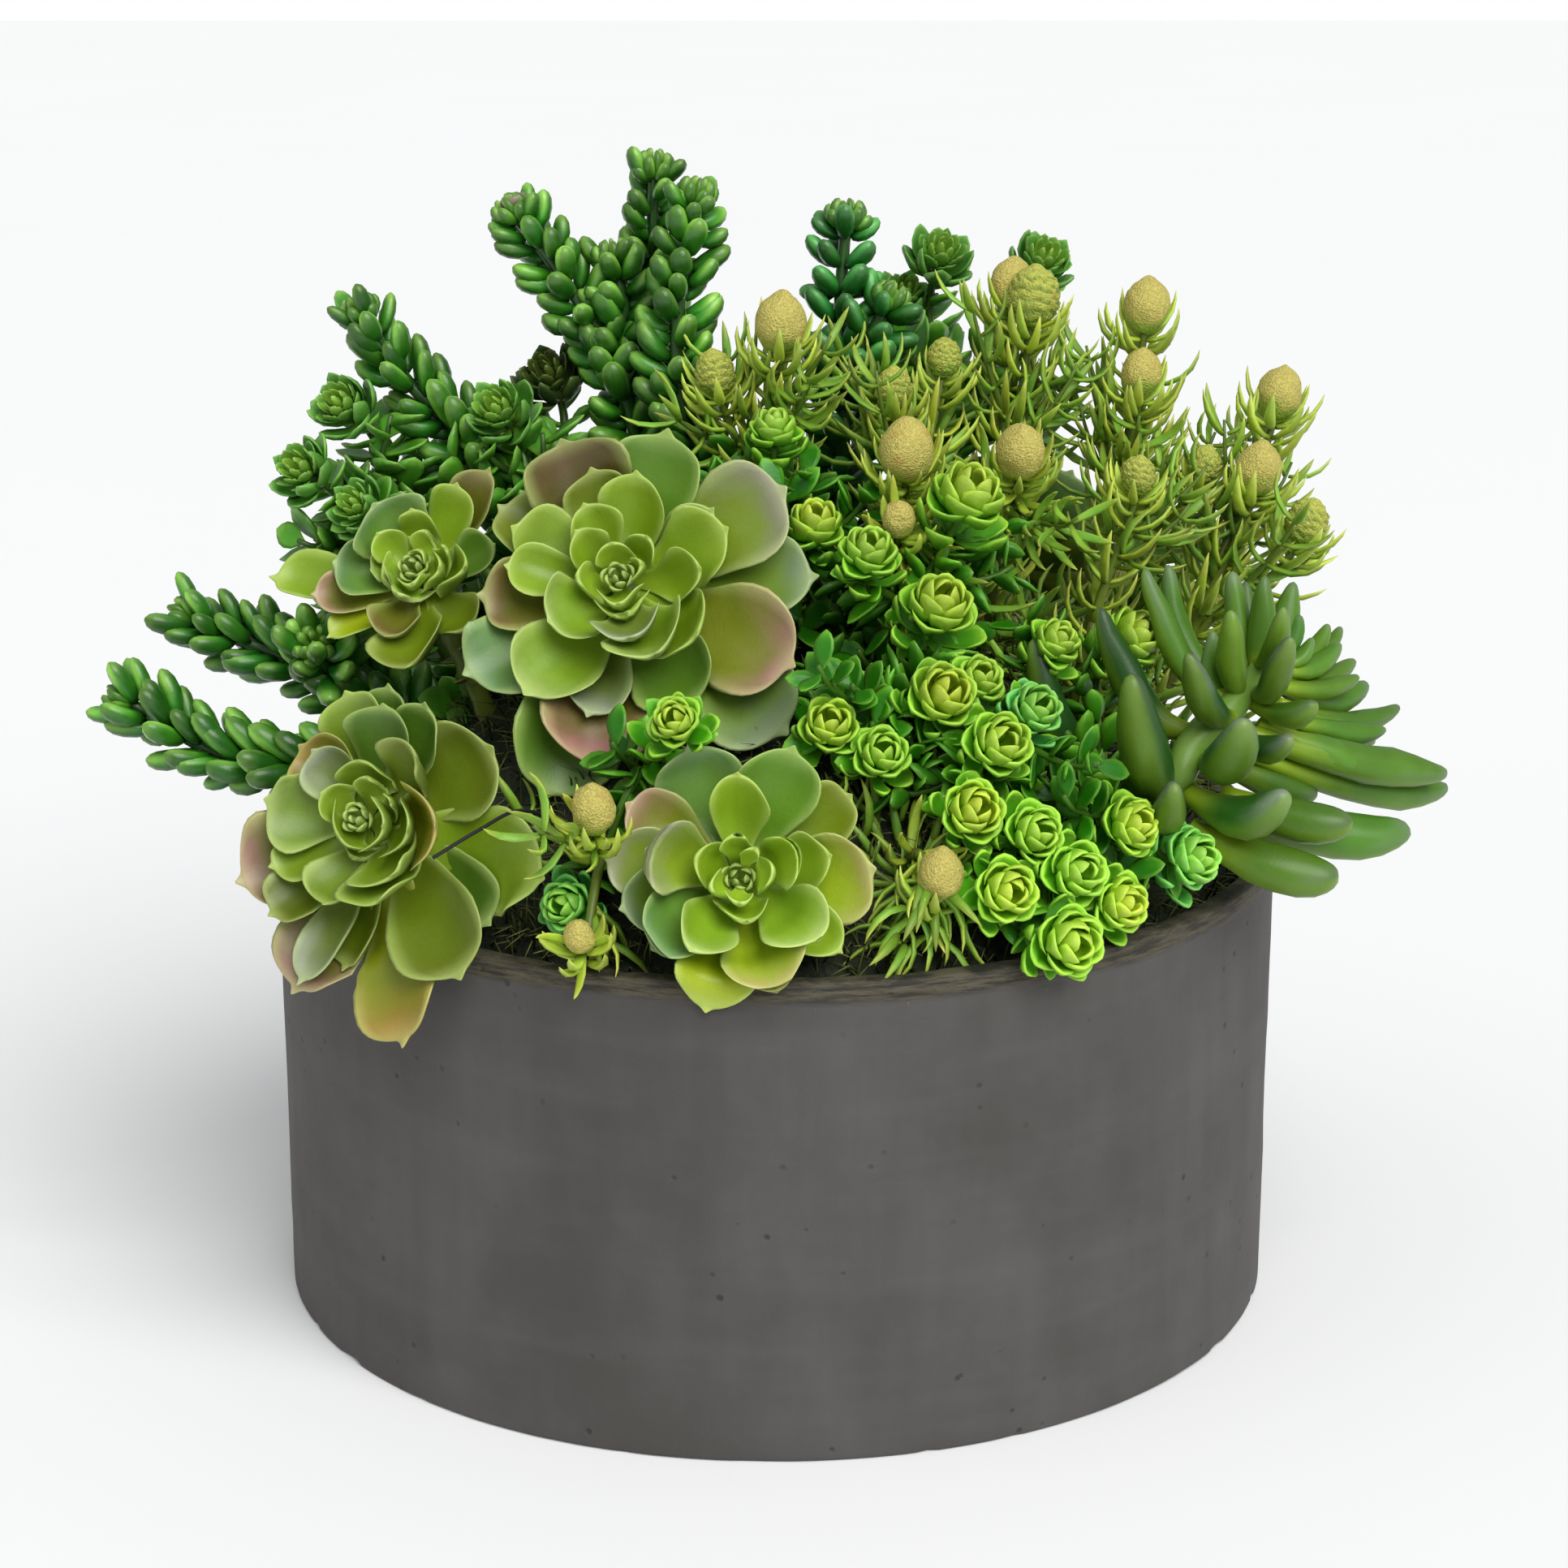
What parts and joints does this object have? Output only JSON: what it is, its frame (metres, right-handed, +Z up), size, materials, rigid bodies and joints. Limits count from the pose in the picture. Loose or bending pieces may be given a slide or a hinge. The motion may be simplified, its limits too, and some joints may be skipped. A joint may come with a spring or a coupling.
{
  "type": "succulent dish garden",
  "caption": "Round dark cement bowl planted with a dome of artificial succulents: broad rosettes, plump tails, small rosettes, budded needle stems and a finger-leaved plant.",
  "frame": {"origin": "middle of the bowl's flat underside", "axes": "+Z up along the bowl's axis, -Y towards the front where the largest rosettes face, +X to the viewer's right"},
  "size_m": [0.4216, 0.3502, 0.3623],
  "materials": {
    "fibre_cement": "matt, mottled charcoal cement with small pits and a brown fibrous rim",
    "floral_foam": "dry floral foam, unseen",
    "moss": "dark dry moss",
    "rosette_heart": "soft satin, yellow-green with pale rims",
    "rosette_middle": "soft satin, yellow-green with pale rims",
    "rosette_outer": "soft satin, blue-green to pink at the tips",
    "rosette_stem": "satin green",
    "plump_leaves": "satin deep green with lighter tips",
    "needle_leaves": "yellow-green, with felt-like tan buds",
    "mini_rosettes": "thin bright emerald leaves, yellow-green in the middle",
    "saw_edged_rosettes": "dark green, saw-edged",
    "finger_leaves": "satin green with grey-violet tips",
    "wire": "black coated wire"
  },
  "bodies": {
    "root": {"back_left_echeveria_heart": "rosette_heart", "back_left_echeveria_middle_leaves": "rosette_middle", "back_left_echeveria_outer_leaves": "rosette_outer", "back_left_echeveria_stem": "rosette_stem", "back_left_mini_sprig": "mini_rosettes", "back_mini_sprig": "mini_rosettes", "back_needle_sprig": "needle_leaves", "back_right_echeveria_heart": "rosette_heart", "back_right_echeveria_middle_leaves": "rosette_middle", "back_right_echeveria_outer_leaves": "rosette_outer", "back_right_echeveria_stem": "rosette_stem", "back_saw_sprig": "saw_edged_rosettes", "back_tail": "plump_leaves", "bowl": "fibre_cement", "center_echeveria_heart": "rosette_heart", "center_echeveria_middle_leaves": "rosette_middle", "center_echeveria_outer_leaves": "rosette_outer", "center_echeveria_stem": "rosette_stem", "far_right_needle_sprig": "needle_leaves", "finger_succulent": "finger_leaves", "floral_foam": "floral_foam", "front_echeveria_heart": "rosette_heart", "front_echeveria_middle_leaves": "rosette_middle", "front_echeveria_outer_leaves": "rosette_outer", "front_echeveria_stem": "rosette_stem", "front_left_wire": "wire", "front_needle_sprig": "needle_leaves", "high_mini_sprig": "mini_rosettes", "high_right_needle_sprig": "needle_leaves", "inner_needle_sprig": "needle_leaves", "inner_saw_sprig": "saw_edged_rosettes", "left_echeveria_heart": "rosette_heart", "left_echeveria_middle_leaves": "rosette_middle", "left_echeveria_outer_leaves": "rosette_outer", "left_echeveria_stem": "rosette_stem", "left_high_tail": "plump_leaves", "left_low_tail": "plump_leaves", "left_mini_sprig": "mini_rosettes", "left_saw_sprig": "saw_edged_rosettes", "low_mini_sprig": "mini_rosettes", "middle_mini_sprig": "mini_rosettes", "moss_bed": "moss", "right_mini_sprig": "mini_rosettes", "right_needle_sprig": "needle_leaves", "rim_mini_sprig": "mini_rosettes", "rim_needle_sprig": "needle_leaves", "side_mini_sprig": "mini_rosettes", "tall_back_tail": "plump_leaves", "tall_front_tail": "plump_leaves", "tall_left_tail": "plump_leaves", "tall_needle_sprig": "needle_leaves", "top_needle_sprig": "needle_leaves", "top_right_tail": "plump_leaves", "top_saw_sprig": "saw_edged_rosettes", "upper_left_echeveria_heart": "rosette_heart", "upper_left_echeveria_middle_leaves": "rosette_middle", "upper_left_echeveria_outer_leaves": "rosette_outer", "upper_left_echeveria_stem": "rosette_stem", "upper_left_tail": "plump_leaves"}
  },
  "joints": []
}
